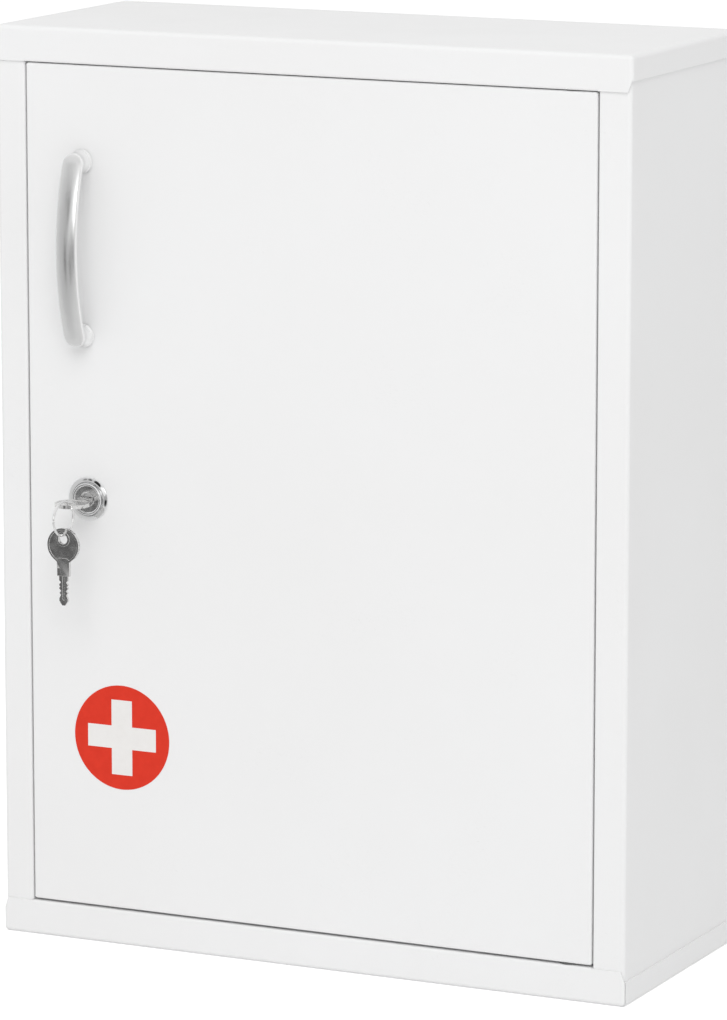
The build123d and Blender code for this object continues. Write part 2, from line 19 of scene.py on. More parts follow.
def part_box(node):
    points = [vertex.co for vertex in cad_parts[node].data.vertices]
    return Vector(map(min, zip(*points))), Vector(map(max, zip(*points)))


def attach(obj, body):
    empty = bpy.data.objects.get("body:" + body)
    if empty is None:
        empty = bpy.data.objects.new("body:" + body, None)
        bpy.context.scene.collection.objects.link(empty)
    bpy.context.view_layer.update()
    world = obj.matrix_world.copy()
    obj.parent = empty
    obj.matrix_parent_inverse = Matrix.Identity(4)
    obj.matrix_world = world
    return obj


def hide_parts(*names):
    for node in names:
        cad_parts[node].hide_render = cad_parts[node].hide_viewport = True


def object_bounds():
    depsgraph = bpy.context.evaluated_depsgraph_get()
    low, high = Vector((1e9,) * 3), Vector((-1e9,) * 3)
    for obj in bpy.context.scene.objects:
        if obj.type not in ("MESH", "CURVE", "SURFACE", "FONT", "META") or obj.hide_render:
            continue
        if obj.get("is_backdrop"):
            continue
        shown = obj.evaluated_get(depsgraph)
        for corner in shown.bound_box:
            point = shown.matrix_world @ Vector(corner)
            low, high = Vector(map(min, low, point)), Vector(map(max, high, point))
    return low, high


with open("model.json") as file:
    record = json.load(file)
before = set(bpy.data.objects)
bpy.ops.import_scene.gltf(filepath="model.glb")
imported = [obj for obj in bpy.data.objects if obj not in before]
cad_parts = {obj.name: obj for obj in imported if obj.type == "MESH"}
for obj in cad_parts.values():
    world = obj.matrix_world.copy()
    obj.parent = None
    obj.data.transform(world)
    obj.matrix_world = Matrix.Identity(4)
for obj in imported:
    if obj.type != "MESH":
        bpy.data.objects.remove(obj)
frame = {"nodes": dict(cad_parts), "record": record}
cad_low, cad_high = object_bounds()
mm = 0.001
print("nodes", len(frame["nodes"]), "box in mm", [round(v / mm, 1) for v in (*cad_low, *cad_high)])

# %% [markdown]
# ## The places that this lesson works from
#
# A place that the CAD model already has isn't typed again. It is read from the box of the piece that
# carries it, so the new pieces still fit when the cabinet changes. Only the sizes of details that no box
# shows are typed, in millimetres, beside the piece that they belong to.

# %% Read places from the frame
def middle(node):
    """The centre of a CAD piece's box."""
    low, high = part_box(node)
    return (Vector(low) + Vector(high)) / 2


door_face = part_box("door_panel")[0].y
lock_axis = Vector((middle("lock_housing").x, door_face, middle("lock_housing").z))
handle_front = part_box("handle")[0].y
print("door face", round(door_face / mm, 2), "lock axis", [round(v / mm, 2) for v in lock_axis])

# %% [markdown]
# ## Small words for shader nodes
#
# A finish is a tree of nodes, and the same few are used again and again: a noise, a sum, a change of
# range, a mix of two colours, a bump. Written out each time they would hide what a finish is made of, so
# each gets a short word. Every word takes either a plain number or another node's output.

# %% Words for nodes
def feed(tree, socket, value):
    """Links a socket to another node's output, or types a value into it."""
    if isinstance(value, bpy.types.NodeSocket):
        tree.links.new(value, socket)
    else:
        socket.default_value = value


def sums(tree, operation, *values):
    """One Math node."""
    made = tree.nodes.new("ShaderNodeMath")
    made.operation = operation
    for socket, value in zip(made.inputs, values):
        feed(tree, socket, value)
    return made.outputs[0]


def vectors(tree, operation, *values):
    """One Vector Math node. A dot product or a length comes out as a value."""
    made = tree.nodes.new("ShaderNodeVectorMath")
    made.operation = operation
    for socket, value in zip(made.inputs, values):
        feed(tree, socket, value)
    return made.outputs["Value" if operation in ("DOT_PRODUCT", "LENGTH") else "Vector"]


def spread(tree, value, low, high, to_low=0.0, to_high=1.0, steps="LINEAR"):
    """Moves a value from one range to another and holds it there."""
    made = tree.nodes.new("ShaderNodeMapRange")
    made.interpolation_type = steps
    for name, number in (("Value", value), ("From Min", low), ("From Max", high)):
        feed(tree, made.inputs[name], number)
    made.inputs["To Min"].default_value = to_low
    made.inputs["To Max"].default_value = to_high
    return made.outputs["Result"]


def noise(tree, place, scale, detail=2.0, rough=0.5):
    """A cloudy value round 0.5. The scale counts waves in a metre."""
    made = tree.nodes.new("ShaderNodeTexNoise")
    feed(tree, made.inputs["Vector"], place)
    made.inputs["Scale"].default_value = scale
    made.inputs["Detail"].default_value = detail
    made.inputs["Roughness"].default_value = rough
    return made.outputs["Fac"]


def stretched(tree, place, factors):
    """The same place, counted in other units along each axis."""
    made = tree.nodes.new("ShaderNodeMapping")
    feed(tree, made.inputs["Vector"], place)
    made.inputs["Scale"].default_value = factors
    return made.outputs["Vector"]


def mixed(tree, factor, first, second):
    """From one colour to another."""
    made = tree.nodes.new("ShaderNodeMix")
    made.data_type = "RGBA"
    feed(tree, made.inputs[0], factor)
    feed(tree, made.inputs[6], first)
    feed(tree, made.inputs[7], second)
    return made.outputs[2]


def bumped(tree, height, depth, normal=None):
    """Turns a height of 0 to 1 into a tilt of the surface, for a relief of that depth in metres."""
    made = tree.nodes.new("ShaderNodeBump")
    made.inputs["Distance"].default_value = depth
    feed(tree, made.inputs["Height"], height)
    if normal is not None:
        feed(tree, made.inputs["Normal"], normal)
    return made.outputs["Normal"]


def eased_edges(tree, radius):
    """The surface's direction as if its edges had that radius."""
    made = tree.nodes.new("ShaderNodeBevel")
    made.samples = 4
    made.inputs["Radius"].default_value = radius
    return made.outputs["Normal"]


def object_place(tree):
    """Where a point is on the cabinet, in metres."""
    return tree.nodes.new("ShaderNodeTexCoord").outputs["Object"]


def grey(value, warmth=0.0):
    """A grey, a little warmer or cooler than neutral."""
    return (value * (1 + warmth), value, value * (1 - warmth), 1)


print("words for nodes are ready")

# %% [markdown]
# ## Effects that several finishes share
#
# Powder coat is never quite flat: it flows in the oven and sets with a fine orange peel. Metal that was
# turned keeps rings, metal that was brushed keeps lines, and whatever is handled gets hair scratches and
# the faint film of fingers. Each effect is built once as a node group with named sockets. A group gives
# only masks and heights, and each finish decides what to do with them.

# %% A group to fill
def new_group(name, inputs, outputs):
    """An empty group with named sockets, and its two ends."""
    tree = bpy.data.node_groups.new(name, "ShaderNodeTree")
    for socket, kind in inputs.items():
        tree.interface.new_socket(name=socket, in_out="INPUT", socket_type="NodeSocket" + kind)
    for socket in outputs:
        tree.interface.new_socket(name=socket, in_out="OUTPUT", socket_type="NodeSocketFloat")
    return tree, tree.nodes.new("NodeGroupInput").outputs, tree.nodes.new("NodeGroupOutput").inputs


def use_group(tree, group, **values):
    """Puts a group into a finish with its own values."""
    made = tree.nodes.new("ShaderNodeGroup")
    made.node_tree = group
    for name, value in values.items():
        feed(tree, made.inputs[name], value)
    return made.outputs


# %% Orange peel and cloudiness of powder coat
coat_texture, inside, outside = new_group(
    "coat_texture", {"Place": "Vector"}, ("Tone", "Gloss", "Peel")
)
tree = coat_texture
waves = noise(tree, inside["Place"], 620, 1.5, 0.4)
grains = noise(tree, inside["Place"], 2900, 2.0, 0.5)
specks = noise(tree, inside["Place"], 5200, 0.0, 0.5)
feed(tree, outside["Peel"], sums(tree, "MULTIPLY_ADD", grains, 0.3, sums(tree, "MULTIPLY", waves, 0.7)))
feed(tree, outside["Tone"], spread(tree, noise(tree, inside["Place"], 7, 3.0, 0.5), 0.3, 0.7))
gloss = sums(tree, "MULTIPLY_ADD", specks, 0.25, noise(tree, inside["Place"], 31, 4.0, 0.6))
feed(tree, outside["Gloss"], spread(tree, gloss, 0.4, 0.9))
print(tree.name, len(tree.nodes), "nodes")

# %% Hair scratches and the film of fingers
handling_marks, inside, outside = new_group(
    "handling_marks", {"Place": "Vector", "Fineness": "Float"}, ("Scratches", "Smudges")
)
tree = handling_marks
scale_vector = tree.nodes.new("ShaderNodeCombineXYZ")
for axis in "XYZ":
    feed(tree, scale_vector.inputs[axis], inside["Fineness"])
fine_place = vectors(tree, "MULTIPLY", inside["Place"], scale_vector.outputs[0])
lines = []
for factors, turn in (((90, 90, 4), 0.5), ((5, 80, 80), -0.35)):
    tilt = tree.nodes.new("ShaderNodeMapping")
    feed(tree, tilt.inputs["Vector"], fine_place)
    tilt.inputs["Rotation"].default_value = (turn, turn, turn)
    along = noise(tree, stretched(tree, tilt.outputs["Vector"], factors), 6, 1.0, 0.5)
    thin = sums(tree, "ABSOLUTE", sums(tree, "SUBTRACT", along, 0.5))
    lines.append(spread(tree, thin, 0.0, 0.006, 1.0, 0.0))
patches = spread(tree, noise(tree, fine_place, 21, 2.0, 0.5), 0.5, 0.68)
both = sums(tree, "MAXIMUM", *lines)
feed(tree, outside["Scratches"], sums(tree, "MULTIPLY", both, patches))
film = noise(tree, fine_place, 13, 5.0, 0.65)
feed(tree, outside["Smudges"], spread(tree, film, 0.45, 0.7))
print(tree.name, len(tree.nodes), "nodes")

# %% Rings that a lathe leaves round the lock's axis
lathe_rings, inside, outside = new_group(
    "lathe_rings", {"Place": "Vector", "Centre": "Vector"}, ("Rings",)
)
tree = lathe_rings
arm = vectors(tree, "SUBTRACT", inside["Place"], inside["Centre"])
arm = vectors(tree, "MULTIPLY", arm, (1, 0, 1))
radius = vectors(tree, "LENGTH", arm)
ring = tree.nodes.new("ShaderNodeTexNoise")
ring.noise_dimensions = "1D"
feed(tree, ring.inputs["W"], radius)
ring.inputs["Scale"].default_value = 6500
ring.inputs["Detail"].default_value = 2
feed(tree, outside["Rings"], ring.outputs["Fac"])
print(tree.name, len(tree.nodes), "nodes")

# %% Long grain of rolled or brushed metal
metal_grain, inside, outside = new_group(
    "metal_grain", {"Place": "Vector"}, ("Grain", "Clouds")
)
tree = metal_grain
long_grain = noise(tree, stretched(tree, inside["Place"], (5200, 5200, 160)), 1, 2.0, 0.6)
feed(tree, outside["Grain"], long_grain)
feed(tree, outside["Clouds"], spread(tree, noise(tree, inside["Place"], 260, 4.0, 0.6), 0.35, 0.65))
print(tree.name, len(tree.nodes), "nodes")

# %% Dimples of spot welds under the coat
weld_dimples, inside, outside = new_group(
    "weld_dimples", {"Place": "Vector", "Row": "Float", "Pitch": "Float"}, ("Dimple",)
)
tree = weld_dimples
parts = tree.nodes.new("ShaderNodeSeparateXYZ")
feed(tree, parts.inputs[0], inside["Place"])
across = sums(tree, "SUBTRACT", sums(tree, "ABSOLUTE", parts.outputs["X"]), inside["Row"])
half_pitch = sums(tree, "MULTIPLY", inside["Pitch"], 0.5)
along = sums(tree, "FLOORED_MODULO", parts.outputs["Z"], inside["Pitch"])
along = sums(tree, "SUBTRACT", along, half_pitch)
across = sums(tree, "MULTIPLY", across, across)
away = sums(tree, "SQRT", sums(tree, "MULTIPLY_ADD", along, along, across))
feed(tree, outside["Dimple"], spread(tree, away, 1.2 * mm, 2.9 * mm, 0.0, 1.0, "SMOOTHSTEP"))
print(tree.name, len(tree.nodes), "nodes")

# %% [markdown]
# ## White powder coat
#
# The cabinet's sheets are coated after folding and welding, so the coat runs over every cut edge and
# makes it soft. The white is neutral and half glossy. The roughness carries most of the finish here: a
# little clouding, fine specks, and the film that hands leave. On the sheets that were spot-welded flat on
# another, a row of shallow dimples shows through. One function makes the plain coat and the dimpled one.

# %% Powder coat
def new_finish(name):
    """A node material, with its tree and its shader."""
    material = bpy.data.materials.new(name)
    material.use_nodes = True
    return material, material.node_tree, material.node_tree.nodes["Principled BSDF"]


def coated_steel(name, weld_row=0.0, weld_pitch=0.0):
    """White powder coat. A weld row is that far from the middle plane, and its welds that far apart."""
    material, tree, shader = new_finish(name)
    place = object_place(tree)
    coat = use_group(tree, coat_texture, Place=place)
    marks = use_group(tree, handling_marks, Place=place, Fineness=1.0)
    white = mixed(tree, coat["Tone"], grey(0.855, 0.001), grey(0.873, -0.002))
    scuffed = mixed(tree, sums(tree, "MULTIPLY", marks["Scratches"], 0.16), white, grey(0.62, 0.01))
    feed(tree, shader.inputs["Base Color"], scuffed)
    rough = spread(tree, coat["Gloss"], 0.0, 1.0, 0.36, 0.5)
    rough = sums(tree, "MULTIPLY_ADD", marks["Smudges"], -0.05, rough)
    feed(tree, shader.inputs["Roughness"], rough)
    normal = bumped(tree, coat["Peel"], 0.012 * mm, eased_edges(tree, 0.28 * mm))
    if weld_pitch:
        weld = use_group(tree, weld_dimples, Place=place, Row=weld_row, Pitch=weld_pitch)
        normal = bumped(tree, weld["Dimple"], 0.16 * mm, normal)
    feed(tree, shader.inputs["Normal"], normal)
    shader.inputs["Specular IOR Level"].default_value = 0.28
    return material


side_middle = cad_high.x - 7 * mm
powder_coat = coated_steel("white_powder_coat")
welded_back_coat = coated_steel("white_powder_coat_on_welded_back", side_middle, 38 * mm)
print(powder_coat.name, welded_back_coat.name)

# %% [markdown]
# ## Metals
#
# The handle is cast and plated satin, so it reflects softly, with no clear picture. The lock's rosette is
# polished chrome and mirrors the studio. The keys are stamped and nickel-plated, a little darker and
# rubbed by use. Screws, nut, washers, cam and pins are zinc-plated, which is cloudy and faintly blue. The
# wafers are plain stamped brass. All of them are one shader at full metallic with other colours, other
# roughness and other marks.

# %% Metal finishes
def metal(name, dark, light, rough, grain_depth, marks_fineness, scratch=0.3, edges=0.0, film=0.06):
    """A plated metal between two tones, with grain, clouds, scratches and smudges."""
    material, tree, shader = new_finish(name)
    place = object_place(tree)
    grain = use_group(tree, metal_grain, Place=place)
    marks = use_group(tree, handling_marks, Place=place, Fineness=marks_fineness)
    colour = mixed(tree, grain["Clouds"], dark, light)
    worn = sums(tree, "MULTIPLY", marks["Scratches"], scratch)
    colour = mixed(tree, worn, colour, tuple(0.75 * c for c in light[:3]) + (1,))
    feed(tree, shader.inputs["Base Color"], colour)
    shader.inputs["Metallic"].default_value = 1
    value = spread(tree, grain["Clouds"], 0.0, 1.0, rough[0], rough[1])
    value = sums(tree, "MULTIPLY_ADD", marks["Smudges"], film, value)
    feed(tree, shader.inputs["Roughness"], sums(tree, "MULTIPLY_ADD", worn, 0.15, value))
    start = eased_edges(tree, edges) if edges else None
    normal = bumped(tree, grain["Grain"], grain_depth, start)
    feed(tree, shader.inputs["Normal"], bumped(tree, worn, -0.004 * mm, normal))
    return material


satin_chrome = metal("satin_chrome", grey(0.685), grey(0.70), (0.25, 0.26), 0.0001 * mm, 3, 0.0, film=0.015)
nickel_tones = grey(0.70, 0.008), grey(0.74, 0.006)
nickel = metal("rubbed_nickel", *nickel_tones, (0.13, 0.17), 0.0005 * mm, 5, 0.2, 0.16 * mm, 0.02)
plug_nickel = metal("turned_plug_nickel", grey(0.68), grey(0.76), (0.13, 0.19), 0.0006 * mm, 6, 0.3)
bright_wire = metal("bright_wire", grey(0.72), grey(0.78), (0.08, 0.14), 0.0005 * mm, 6, 0.3)
zinc_tones = (0.50, 0.52, 0.55, 1), (0.64, 0.65, 0.64, 1)
zinc = metal("zinc_plate", *zinc_tones, (0.26, 0.42), 0.003 * mm, 4, 0.3, 0.12 * mm)
brass_tones = (0.62, 0.44, 0.19, 1), (0.74, 0.56, 0.28, 1)
brass = metal("stamped_brass", *brass_tones, (0.25, 0.38), 0.003 * mm, 5, 0.3, 0.05 * mm)
print([m.name for m in (satin_chrome, nickel, plug_nickel, bright_wire, zinc, brass)])

# %% [markdown]
# Only the front of the bow handle is brushed. Its flanks and its turned feet are smoother, and their tone
# is lifted almost to white. That is a painted reflection: it stands in for the white door that they mirror,
# and it makes them brighter than their plating would show. The two finishes could be two materials on one
# mesh, but the change runs softly over the rounded edge, so a mask does it. The handle's mesh carries the
# mask as a number at each of its points, which is set when the handle is made, and the finish reads it.

# %% Bright flanks on the satin chrome: a smoother finish and a painted reflection
# painted reflection: the near-white tone of the flanks and feet stands in for the white door that they
# mirror
painted_door_reflection_tone = grey(0.94)
plating_rough = 0.15
tree = satin_chrome.node_tree
shader = tree.nodes["Principled BSDF"]
mask = tree.nodes.new("ShaderNodeAttribute")
mask.attribute_name = "bright_flank"
flank = mask.outputs["Fac"]
satin_tone = shader.inputs["Base Color"].links[0].from_socket
feed(tree, shader.inputs["Base Color"], mixed(tree, flank, satin_tone, painted_door_reflection_tone))
satin_rough = shader.inputs["Roughness"].links[0].from_socket
smoother = sums(tree, "SUBTRACT", plating_rough, satin_rough)
feed(tree, shader.inputs["Roughness"], sums(tree, "MULTIPLY_ADD", smoother, flank, satin_rough))
print(satin_chrome.name, len(tree.nodes), "nodes")

# %% Polished chrome with the lathe's rings
def turned_chrome():
    """Mirror chrome over a turned surface."""
    material, tree, shader = new_finish("polished_chrome")
    place = object_place(tree)
    rings = use_group(tree, lathe_rings, Place=place, Centre=tuple(lock_axis))
    marks = use_group(tree, handling_marks, Place=place, Fineness=5.0)
    colour = mixed(tree, marks["Smudges"], grey(0.80, -0.004), grey(0.74))
    feed(tree, shader.inputs["Base Color"], colour)
    shader.inputs["Metallic"].default_value = 1
    rough = spread(tree, marks["Smudges"], 0.0, 1.0, 0.04, 0.1)
    feed(tree, shader.inputs["Roughness"], sums(tree, "MULTIPLY_ADD", marks["Scratches"], 0.15, rough))
    normal = bumped(tree, rings["Rings"], 0.0006 * mm)
    feed(tree, shader.inputs["Normal"], bumped(tree, marks["Scratches"], -0.003 * mm, normal))
    return material


chrome = turned_chrome()
print(chrome.name, len(chrome.node_tree.nodes), "nodes")

# %% [markdown]
# ## Plastic, rubber and the sign's film
#
# The hinge bushes are moulded in grey nylon, which lets a little light in. The bumpers are soft pale
# rubber, slightly grainy, with dust in the grain. The first-aid sign is printed film, smooth and a little
# glossy, whose colour is even apart from the faint weave of the print.

# %% Finishes that aren't metal
def moulded(name, dark, light, rough, grain_scale, grain_depth, inner_glow=0.0):
    """A plastic, rubber or film between two tones."""
    material, tree, shader = new_finish(name)
    place = object_place(tree)
    clouds = spread(tree, noise(tree, place, grain_scale / 12, 3.0, 0.6), 0.35, 0.65)
    marks = use_group(tree, handling_marks, Place=place, Fineness=2.0)
    feed(tree, shader.inputs["Base Color"], mixed(tree, clouds, dark, light))
    value = spread(tree, clouds, 0.0, 1.0, rough[0], rough[1])
    feed(tree, shader.inputs["Roughness"], sums(tree, "MULTIPLY_ADD", marks["Scratches"], 0.1, value))
    fine_grain = noise(tree, place, grain_scale, 2.0, 0.5)
    feed(tree, shader.inputs["Normal"], bumped(tree, fine_grain, grain_depth))
    shader.inputs["Specular IOR Level"].default_value = 0.25
    shader.inputs["Subsurface Weight"].default_value = inner_glow
    shader.inputs["Subsurface Radius"].default_value = (1.2 * mm, 1.1 * mm, 1.0 * mm)
    shader.inputs["Subsurface Scale"].default_value = 1.0
    return material


nylon = moulded("grey_nylon", grey(0.115), grey(0.145), (0.42, 0.5), 2600, 0.006 * mm, 0.1)
rubber = moulded("pale_rubber", grey(0.56, 0.02), grey(0.64, 0.015), (0.62, 0.75), 3800, 0.02 * mm)
red_tones = (0.70, 0.032, 0.012, 1), (0.74, 0.036, 0.014, 1)
red_film = moulded("red_film", *red_tones, (0.36, 0.44), 3000, 0.003 * mm)
white_film = moulded("white_film", grey(0.81, 0.02), grey(0.83, 0.018), (0.36, 0.44), 3000, 0.003 * mm)
print([m.name for m in (nylon, rubber, red_film, white_film)])

# %% Give every CAD piece its finish
finishes = {
    "white_steel": powder_coat,
    "handle_satin": satin_chrome,
    "lock_chrome": chrome,
    "key_nickel": nickel,
    "zinc_steel": zinc,
    "brass": brass,
    "nylon": nylon,
    "rubber_pad": rubber,
}
for part in frame["record"]["subparts"]:
    surface = frame["nodes"][part["node"]].data
    surface.materials.clear()
    surface.materials.append(finishes[part["material_slot"]])
frame["nodes"]["back_panel"].data.materials[0] = welded_back_coat

# %% [markdown]
# ## Words for meshes
#
# Every new piece ends the same way: its doubles are merged, its faces are turned outwards, it is shaded
# smooth between its sharp edges, and it rides on the body that carries it. Real edges are never razor
# sharp, and the thin bright line along them is most of what makes small metal look real, so one word
# rounds every edge that turns sharply. Another turns an outline round an axis, as a lathe does.

# %% Words for meshes
def merged(bm):
    """Joins points that lie together and turns every face outwards."""
    bmesh.ops.remove_doubles(bm, verts=bm.verts, dist=0.002 * mm)
    bmesh.ops.recalc_face_normals(bm, faces=bm.faces)


def round_edges(bm, radius, sharp=30, segments=2):
    """Rounds the edges that turn more than an angle in degrees."""
    merged(bm)
    edges = [
        edge
        for edge in bm.edges
        if len(edge.link_faces) == 2 and edge.calc_face_angle() > radians(sharp)
    ]
    bmesh.ops.bevel(
        bm,
        geom=edges,
        offset=radius,
        offset_type="OFFSET",
        segments=segments,
        profile=0.5,
        affect="EDGES",
        clamp_overlap=True,
        material=-1,
    )


def copied(node):
    """A CAD piece as a bmesh, its triangles joined into whole flat faces."""
    bm = bmesh.new()
    bm.from_mesh(frame["nodes"][node].data)
    merged(bm)
    bmesh.ops.dissolve_limit(bm, angle_limit=radians(0.6), verts=bm.verts, edges=bm.edges)
    return bm


def turned(bm, outline, centre, steps=96):
    """Turns an outline of (radius, depth) points in millimetres once round an axis along Y."""
    verts = [bm.verts.new(centre + Vector((r * mm, depth * mm, 0))) for r, depth in outline]
    edges = [bm.edges.new(pair) for pair in zip(verts, verts[1:])]
    bmesh.ops.spin(
        bm, geom=verts + edges, cent=centre, axis=(0, 1, 0), angle=tau, steps=steps, use_merge=True
    )
    merged(bm)


def finished(bm, name, material, body, replaced=(), sharp=40):
    """Makes the object: smooth between sharp edges, with its finish, on its body."""
    merged(bm)
    mesh = bpy.data.meshes.new(name)
    bm.to_mesh(mesh)
    bm.free()
    mesh.shade_smooth()
    mesh.set_sharp_from_angle(angle=radians(sharp))
    mesh.materials.append(material)
    piece = bpy.data.objects.new(name, mesh)
    bpy.context.scene.collection.objects.link(piece)
    even = piece.modifiers.new("even_shading", "WEIGHTED_NORMAL")
    even.keep_sharp = True
    even.weight = 90
    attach(piece, body)
    if replaced:
        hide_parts(*replaced)
    loose_edges = sum(1 for edge in mesh.edges if edge.is_loose)
    print(name, len(mesh.polygons), "faces,", loose_edges, "loose edges")


# %% [markdown]
# ## The bow handle
#
# The handle is one casting: a crowned strap bent to an arc, on two turned feet. A strap like this could
# be swept along a curve, but its ends are round and its crown fades out towards them, which a sweep does
# badly. So it starts flat, as a capsule: a circle whose halves are moved apart. The capsule is given its
# thickness, its rim is rounded, and rings are inset in its face, which are raised to the crown. Then it is
# cut across at even steps and bent.

# %% The strap, flat
strap_half = 4.8 * mm
strap_reach = 42.8 * mm
strap_thickness = 3.0 * mm
strap_crown = 1.2 * mm
strap_centre = middle("handle")
hole_reach = strap_reach - strap_half

bm = bmesh.new()
bmesh.ops.create_circle(
    bm, cap_ends=True, radius=strap_half, segments=56, matrix=Matrix.Rotation(pi / 56, 4, "Z")
)
for vert in bm.verts:
    vert.co.y += hole_reach if vert.co.y > 0 else -hole_reach
pushed = bmesh.ops.extrude_face_region(bm, geom=bm.faces[:])
top_verts = [item for item in pushed["geom"] if isinstance(item, bmesh.types.BMVert)]
bmesh.ops.translate(bm, verts=top_verts, vec=(0, 0, strap_thickness - strap_crown))
merged(bm)
round_edges(bm, 0.35 * mm, 60, 3)
crown_face = max(bm.faces, key=lambda face: (face.normal.z, face.calc_center_median().z, face.calc_area()))
crown_rings = 7
for step in range(crown_rings):
    bmesh.ops.inset_region(bm, faces=[crown_face], thickness=0.6 * mm, use_even_offset=True)
flat_height = strap_thickness - strap_crown
for vert in [vert for vert in bm.verts if vert.co.z > flat_height - 0.001 * mm]:
    beyond = max(abs(vert.co.y) - hole_reach, 0)
    out = min(sqrt(vert.co.x**2 + beyond**2) / strap_half, 1)
    vert.co.z = flat_height + strap_crown * (1 - out**2)
print("flat strap", len(bm.verts), "points")

# %% Cut the strap across and bend it
cuts = 44
for step in range(1, cuts):
    along = strap_reach * (2 * step / cuts - 1)
    bmesh.ops.bisect_plane(
        bm,
        geom=bm.verts[:] + bm.edges[:] + bm.faces[:],
        dist=1e-7,
        plane_co=(0, along, 0),
        plane_no=(0, 1, 0),
    )
strap_front = door_face - handle_front
strap_rise = 8.5 * mm
bow_radius = (strap_reach**2 + strap_rise**2) / (2 * strap_rise)
for vert in bm.verts:
    lean = asin(vert.co.y / bow_radius)
    arm = bow_radius - strap_thickness + vert.co.z
    depth = bow_radius - strap_front - arm * cos(lean)
    vert.co = Vector((vert.co.x + strap_centre.x, door_face + depth, strap_centre.z + arm * sin(lean)))
print("arc radius in mm", round(bow_radius / mm, 1), "points", len(bm.verts))

# %% [markdown]
# The feet are turned shapes: a wide rim on the door, a short cone and a neck that runs into the strap.
# The casting joins them to the strap, so their necks simply end inside it.

# %% The feet
foot_outline = [(2.1, 0), (5.2, 0), (5.4, -0.2), (5.4, -1.2), (5.2, -1.5), (4.4, -2.4), (4.25, -4)]
foot_outline = foot_outline + [(4.2, -6.9), (2.1, -6.9), (2.1, 0)]
for side in (-1, 1):
    foot_axis = Vector((strap_centre.x, door_face, strap_centre.z + side * hole_reach))
    turned(bm, foot_outline, foot_axis, 64)

# %% [markdown]
# The points that get the smoother finish and the painted reflection are those that face sideways. A point
# that looks straight out of the door or into it has a direction whose Y is 1 or -1, and that number falls
# towards 0 on the flanks. So the mask is read off it, with a soft change in between.

# %% Which points get the smoother finish and the painted reflection
bm.normal_update()
bright_flank = bm.verts.layers.float.new("bright_flank")
brushed_from = 0.8
soft_change = 0.3
# the mask marks where the painted reflection of the white door and the smoother finish go
for vert in bm.verts:
    vert[bright_flank] = min(max((brushed_from - abs(vert.normal.y)) / soft_change, 0), 1)
print("bright points", sum(vert[bright_flank] > 0.5 for vert in bm.verts), "of", len(bm.verts))
finished(bm, "bow_handle", satin_chrome, "door", ["handle"], 50)

# %% [markdown]
# ## The lock's rosette and barrel
#
# A cam lock's housing is one turned piece: a thin polished cone on the door, a raised ring round the
# plug, and behind the door a threaded barrel with two flats, which keep it from turning in its hole. The
# cone and the ring are turned from one outline, with a narrow groove between them that reads as a dark
# line. The thread is a real helix: a small ridge spun round the barrel while it moves back by one pitch in
# each turn. The flats are made at the end, by moving in every point of the barrel that stands out past
# them.

# %% Rosette and barrel
barrel_end = (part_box("lock_housing")[1].y - door_face) / mm
thread_start = 1.3
thread_pitch = 1.0
root_radius = 7.35
plug_bore = 5.05
ring_outline = [(plug_bore, 0.4), (5.6, 0.4), (5.6, -1.2), (5.9, -1.85), (6.12, -2.1), (6.78, -2.1)]
groove = [(7.0, -1.88), (7.0, -0.6), (7.4, -0.6)]
cone_outline = [(7.45, -1.0), (8.3, -0.8), (9.3, -0.57), (9.6, -0.4), (9.6, 0)]
shoulder = [(7.9, 0), (7.9, 1.0), (root_radius, thread_start)]
barrel_back = [(root_radius, barrel_end - 0.3), (root_radius - 0.3, barrel_end), (plug_bore, barrel_end)]
bm = bmesh.new()
front_outline = ring_outline + groove + cone_outline
turned(bm, front_outline + shoulder + barrel_back + ring_outline[:1], lock_axis, 128)
round_edges(bm, 0.09 * mm, 25, 2)

turns = barrel_end - thread_start - 1.4
steps_in_turn = 48
crest_radius = 7.85
corners = [(root_radius - 0.1, 0), (crest_radius, 0.42), (crest_radius, 0.5), (root_radius - 0.1, 0.94)]
verts = [bm.verts.new(lock_axis + Vector((r * mm, (thread_start + d) * mm, 0))) for r, d in corners]
start_face = bm.faces.new(verts)
bmesh.ops.spin(
    bm,
    geom=[start_face],
    cent=lock_axis,
    axis=(0, 1, 0),
    angle=tau * turns / thread_pitch,
    steps=int(steps_in_turn * turns),
    dvec=(0, thread_pitch * mm / steps_in_turn, 0),
)
merged(bm)
bmesh.ops.holes_fill(bm, edges=[edge for edge in bm.edges if edge.is_boundary], sides=4)
flat_reach = 7.0 * mm
for vert in bm.verts:
    if vert.co.y > door_face + 0.02 * mm:
        out = vert.co.x - lock_axis.x
        vert.co.x = lock_axis.x + max(-flat_reach, min(flat_reach, out))
finished(bm, "lock_housing_turned", chrome, "door", ["lock_housing"], 35)

# %% [markdown]
# ## Plug, nut, washers and cam
#
# These are stamped or milled from stock, and their CAD shapes are right, so each is copied, its triangles
# are joined into whole faces, and its edges are rounded. A stamped piece keeps a softer edge than a milled
# one.

# %% Plug, nut, washers and cam
for node, radius, finish, body, slot in (
    ("lock_plug", 0.1, plug_nickel, "lock_core", "lock_chrome"),
    ("lock_nut", 0.15, zinc, "door", "zinc_steel"),
    ("lock_washer", 0.1, zinc, "door", "zinc_steel"),
    ("lock_cam", 0.2, zinc, "lock_core", "zinc_steel"),
    ("cam_washer", 0.12, zinc, "lock_core", "zinc_steel"),
):
    bm = copied(node)
    round_edges(bm, radius * mm)
    finished(bm, node + "_eased", finish, body, [node])

# %% [markdown]
# ## Screws with a cross recess
#
# The pan heads are turned. The cross recess is punched into them, which is a job for a difference of two
# solids: the cutter is a small tapered cross, and it is taken away again after the cut. A flat cross is a
# grid of three by three squares with the corner squares taken out. It gets a word of its own, because the
# sign on the door needs one too.

